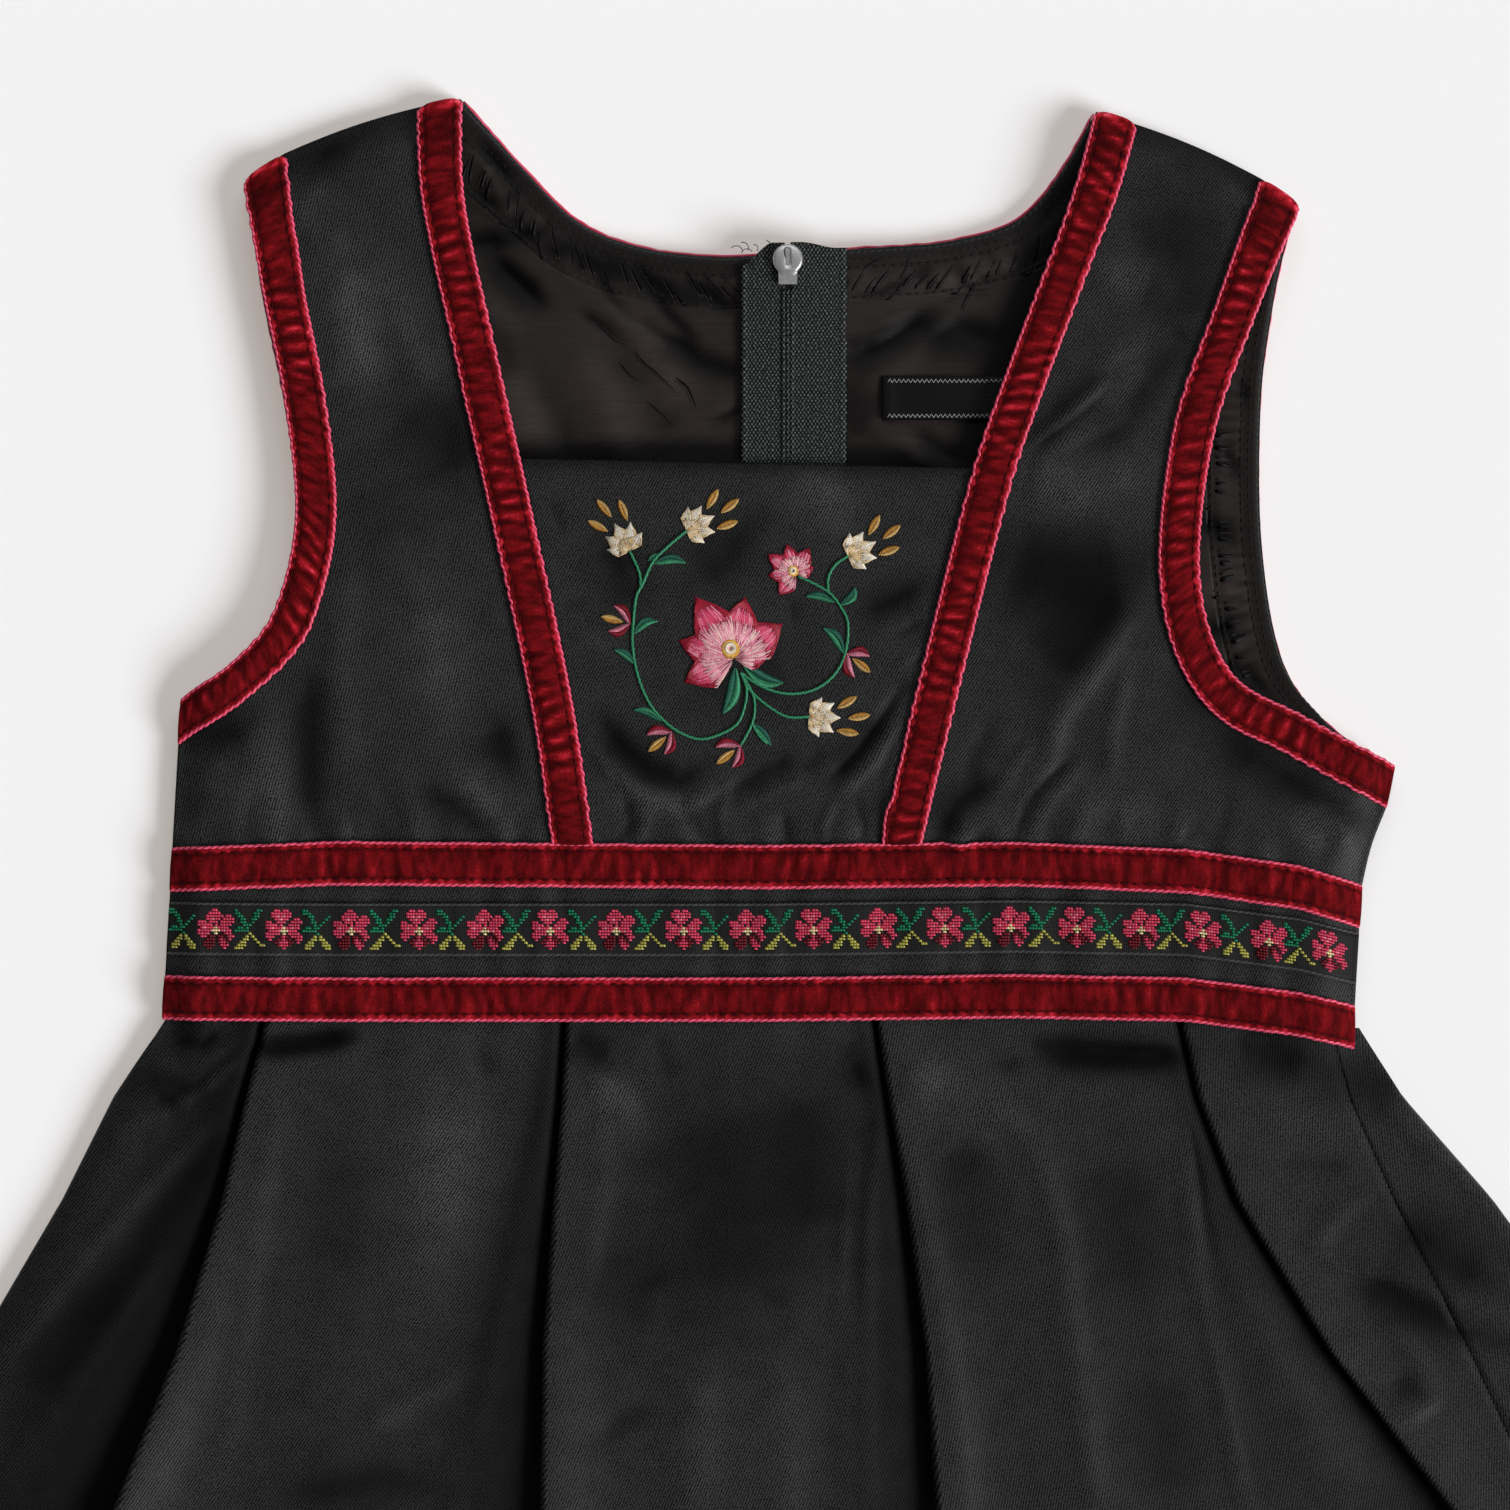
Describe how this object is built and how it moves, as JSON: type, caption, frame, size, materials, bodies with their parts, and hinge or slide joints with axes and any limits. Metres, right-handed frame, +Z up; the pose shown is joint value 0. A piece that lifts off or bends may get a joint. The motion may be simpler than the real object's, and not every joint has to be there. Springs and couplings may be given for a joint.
{
  "type": "child's sleeveless bunad dress",
  "caption": "Child's sleeveless folk dress laid flat front up: fitted bodice with inset centre front, wide waistband, pleated flared skirt and a zip down the centre back.",
  "frame": {"origin": "centre of the bounding box's underside, on the surface that the dress lies on", "axes": "+Z up out of the front of the laid dress, +Y from hem to neck, +X to the right as it is seen from above"},
  "size_m": [0.5782, 0.574, 0.009],
  "materials": {
    "satin": "black satin twill with a soft sheen",
    "lining": "brown-black crinkled lining",
    "velvet": "dark red velvet ribbon with pink edges",
    "jacquard": "woven ribbon, red flowers and green leaves on black",
    "tape": "knitted zip tape",
    "label": "blank woven satin label",
    "metal": "plain grey metal"
  },
  "bodies": {
    "dress": {"armhole_ribbon_back_left": "velvet", "armhole_ribbon_back_right": "velvet", "armhole_ribbon_front_left": "velvet", "armhole_ribbon_front_right": "velvet", "back_left": "satin", "back_lining_left": "lining", "back_lining_right": "lining", "back_right": "satin", "front_left": "satin", "front_right": "satin", "jacquard_ribbon_back_left": "jacquard", "jacquard_ribbon_back_right": "jacquard", "jacquard_ribbon_front": "jacquard", "label": "label", "neck_ribbon_back_left": "velvet", "neck_ribbon_back_right": "velvet", "neck_ribbon_front_left": "velvet", "neck_ribbon_front_right": "velvet", "plastron": "satin", "skirt_back_left": "satin", "skirt_back_right": "satin", "skirt_front": "satin", "waist_ribbon_bottom_back_left": "velvet", "waist_ribbon_bottom_back_right": "velvet", "waist_ribbon_bottom_front": "velvet", "waist_ribbon_top_back_left": "velvet", "waist_ribbon_top_back_right": "velvet", "waist_ribbon_top_front": "velvet", "waistband_back_left": "satin", "waistband_back_right": "satin", "waistband_front": "satin", "zip_slider": "metal", "zip_tape_left": "tape", "zip_tape_right": "tape"},
    "pull_tab": {"zip_pull_tab": "metal"}
  },
  "joints": [
    {"name": "pull_tab_hinge", "type": "hinge", "parent": "dress", "child": "pull_tab", "pos_m": [0.00195, 0.24651, 0.0016], "axis": [1, 0, 0], "range_deg": [0, 165]}
  ]
}
